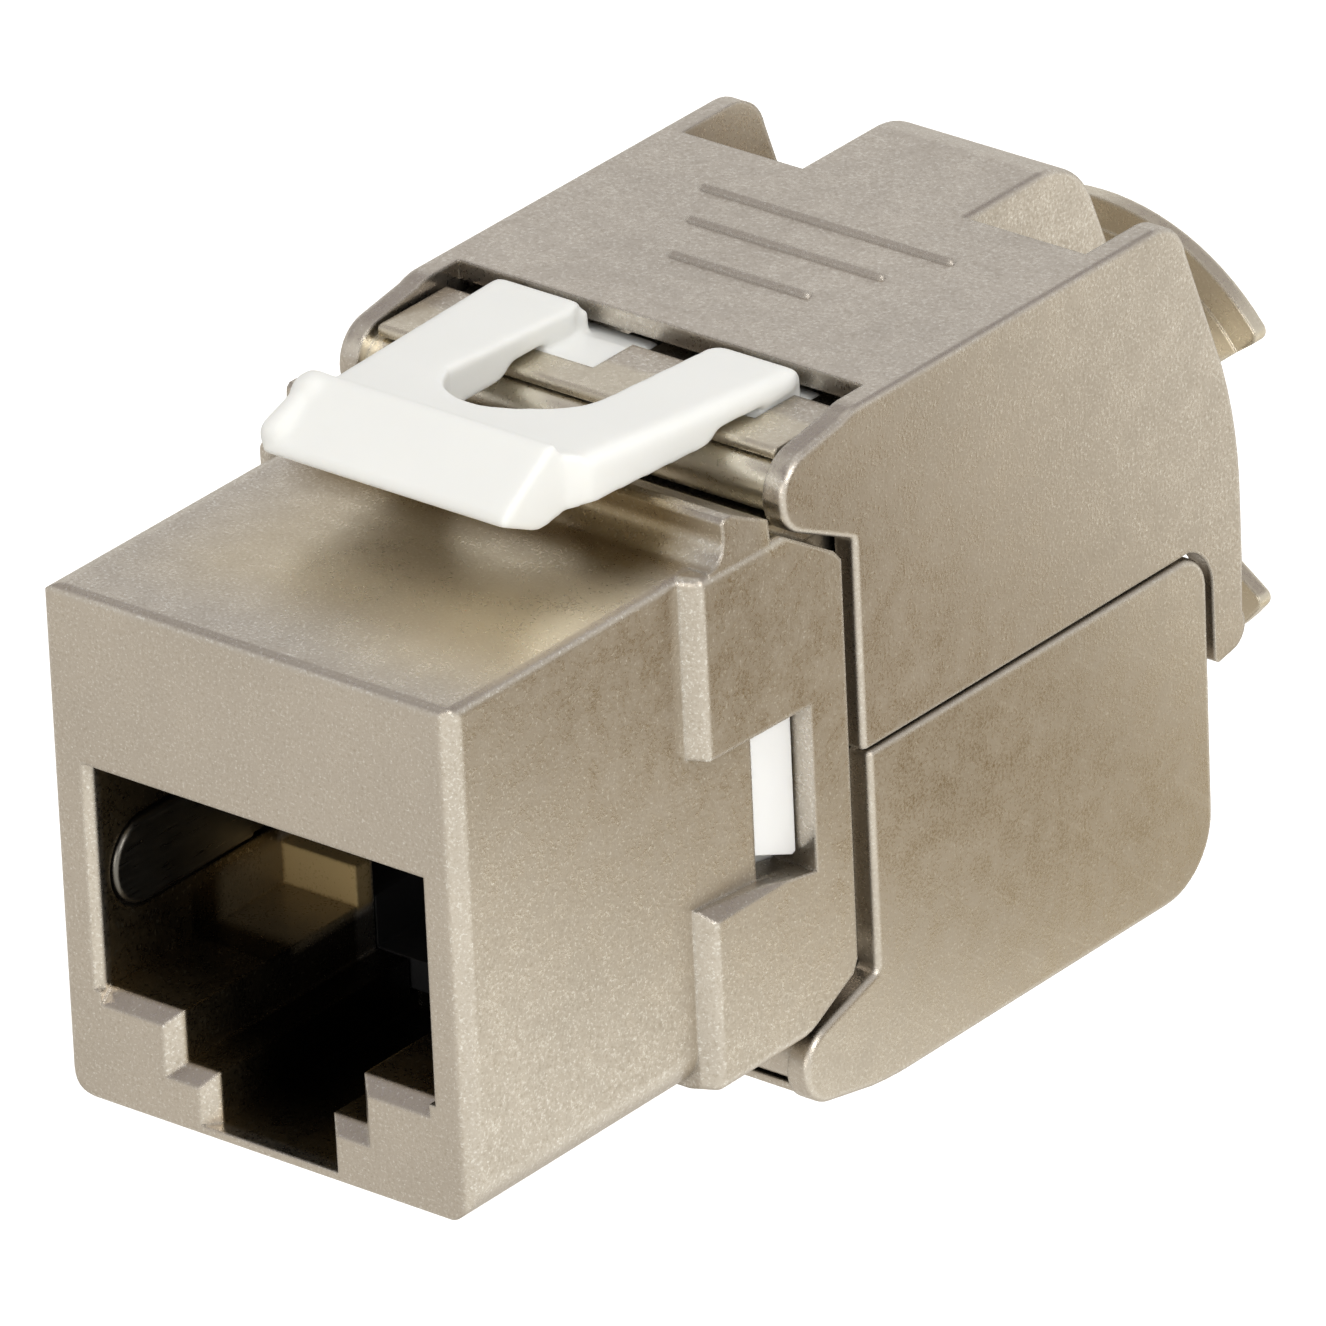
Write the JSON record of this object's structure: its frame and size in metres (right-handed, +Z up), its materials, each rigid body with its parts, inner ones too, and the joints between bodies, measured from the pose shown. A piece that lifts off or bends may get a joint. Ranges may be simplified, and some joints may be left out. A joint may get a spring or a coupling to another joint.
{
  "type": "keystone jack",
  "caption": "Shielded keystone jack: a modular plug port in front, a sprung panel latch on top, and swinging covers behind that shut over the wires and hold the cable.",
  "frame": {"origin": "centre of the front face that holds the plug port", "axes": "+X to the right seen from the front, +Y from the port to the cable end, +Z up towards the latch"},
  "size_m": [0.0158, 0.0383, 0.0224],
  "materials": {
    "plated_zinc": "satin nickel plating on cast zinc",
    "white_plastic": "smooth off-white plastic",
    "dark_plastic": "black moulded plastic",
    "grey_plastic": "pale grey moulded plastic",
    "board": "lacquered circuit board",
    "gold_contact": "gold plated",
    "tinned_bronze": "tin plated bronze",
    "spring_steel": "plated spring steel"
  },
  "bodies": {
    "jack_body": {"front_housing": "plated_zinc", "contact_carrier": "dark_plastic", "jack_contact_1": "gold_contact", "jack_contact_2": "gold_contact", "jack_contact_3": "gold_contact", "jack_contact_4": "gold_contact", "jack_contact_5": "gold_contact", "jack_contact_6": "gold_contact", "jack_contact_7": "gold_contact", "jack_contact_8": "gold_contact", "circuit_board": "board", "insert_frame": "white_plastic", "terminal_block": "dark_plastic", "wire_terminal_1": "tinned_bronze", "wire_terminal_2": "tinned_bronze", "wire_terminal_3": "tinned_bronze", "wire_terminal_4": "tinned_bronze", "wire_terminal_5": "tinned_bronze", "wire_terminal_6": "tinned_bronze", "wire_terminal_7": "tinned_bronze", "wire_terminal_8": "tinned_bronze", "ground_spring_left": "spring_steel", "ground_spring_right": "spring_steel"},
    "upper_cover": {"upper_cover": "plated_zinc"},
    "lower_cover": {"lower_cover": "plated_zinc"},
    "latch": {"keystone_latch": "white_plastic"},
    "wire_manager": {"wire_manager": "grey_plastic"}
  },
  "joints": [
    {"name": "upper_cover_hinge", "type": "hinge", "parent": "jack_body", "child": "upper_cover", "pos_m": [0, 0.01492, 0.00862], "axis": [1, 0, 0], "range_deg": [0, 95]},
    {"name": "lower_cover_hinge", "type": "hinge", "parent": "jack_body", "child": "lower_cover", "pos_m": [0, 0.01492, -0.00892], "axis": [-1, 0, 0], "range_deg": [0, 95]},
    {"name": "wire_manager_slide", "type": "slide", "parent": "jack_body", "child": "wire_manager", "axis": [0, 1, 0], "range_m": [0, 0.004]},
    {"name": "latch_flex", "type": "hinge", "parent": "jack_body", "child": "latch", "pos_m": [0, 0.0159, 0.0095], "axis": [1, 0, 0], "range_deg": [0, 5.3], "stiffness_Nm_per_rad": 0.12}
  ],
  "couplings": [
    {"joint": "lower_cover_hinge", "follows": "upper_cover_hinge", "ratio": 1},
    {"joint": "wire_manager_slide", "follows": "upper_cover_hinge", "m_per_rad": 0.0024}
  ]
}
